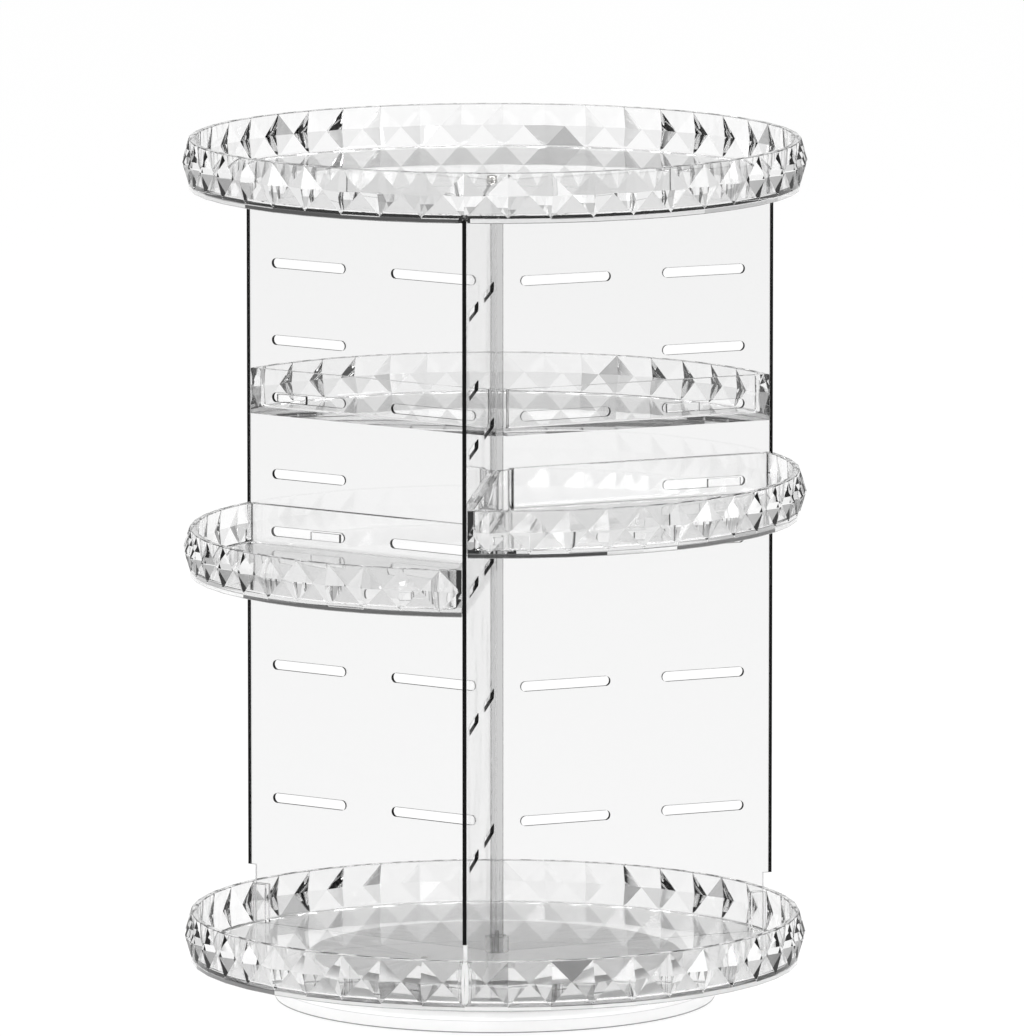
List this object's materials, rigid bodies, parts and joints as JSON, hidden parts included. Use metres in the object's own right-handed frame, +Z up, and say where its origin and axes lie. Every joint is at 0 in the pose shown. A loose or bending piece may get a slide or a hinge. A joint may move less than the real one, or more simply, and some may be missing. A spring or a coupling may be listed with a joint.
{
  "type": "rotating makeup organizer",
  "caption": "Clear carousel organizer: round and sector trays with faceted rims, on slotted panels that turn on a ball-bearing base.",
  "frame": {"origin": "on the turning axis, on the surface that the foot pads stand on", "axes": "+Z up along the turning axis, front panel towards -Y, +X to the right seen from the front"},
  "size_m": [0.2398, 0.2398, 0.3345],
  "materials": {
    "clear_tray": "polished crystal-clear moulded plastic",
    "clear_panel": "polished clear sheet with dark-looking cut edges",
    "clear_post": "polished clear extrusion",
    "frosted_base": "pale translucent plastic",
    "pad_rubber": "soft matt anti-slip rubber",
    "white_plastic": "plain moulded",
    "race_steel": "stamped and zinc plated",
    "ball_steel": "polished balls",
    "screw_steel": "nickel plated"
  },
  "bodies": {
    "base": {"base_plate": "frosted_base", "foot_pads": "pad_rubber", "lower_race": "race_steel"},
    "ball_ring": {"ball_cage": "white_plastic", "bearing_balls": "ball_steel"},
    "carousel": {"turntable_plate": "frosted_base", "upper_race": "race_steel", "pivot_washer": "race_steel", "pivot_screw": "screw_steel", "turntable_screws": "screw_steel", "bottom_tray": "clear_tray", "center_post": "clear_post", "post_screw": "screw_steel", "panel_front": "clear_panel", "panel_left": "clear_panel", "panel_right": "clear_panel", "left_tray": "clear_tray", "right_tray": "clear_tray", "rear_tray": "clear_tray", "top_tray": "clear_tray", "top_screw": "screw_steel"}
  },
  "joints": [
    {"name": "carousel_spin", "type": "hinge", "parent": "base", "child": "carousel", "pos_m": [0, 0, 0.0084], "axis": [0, 0, 1], "continuous": true},
    {"name": "ball_ring_spin", "type": "hinge", "parent": "base", "child": "ball_ring", "pos_m": [0, 0, 0.0084], "axis": [0, 0, 1], "continuous": true}
  ],
  "couplings": [
    {"joint": "ball_ring_spin", "follows": "carousel_spin", "ratio": 0.5}
  ]
}
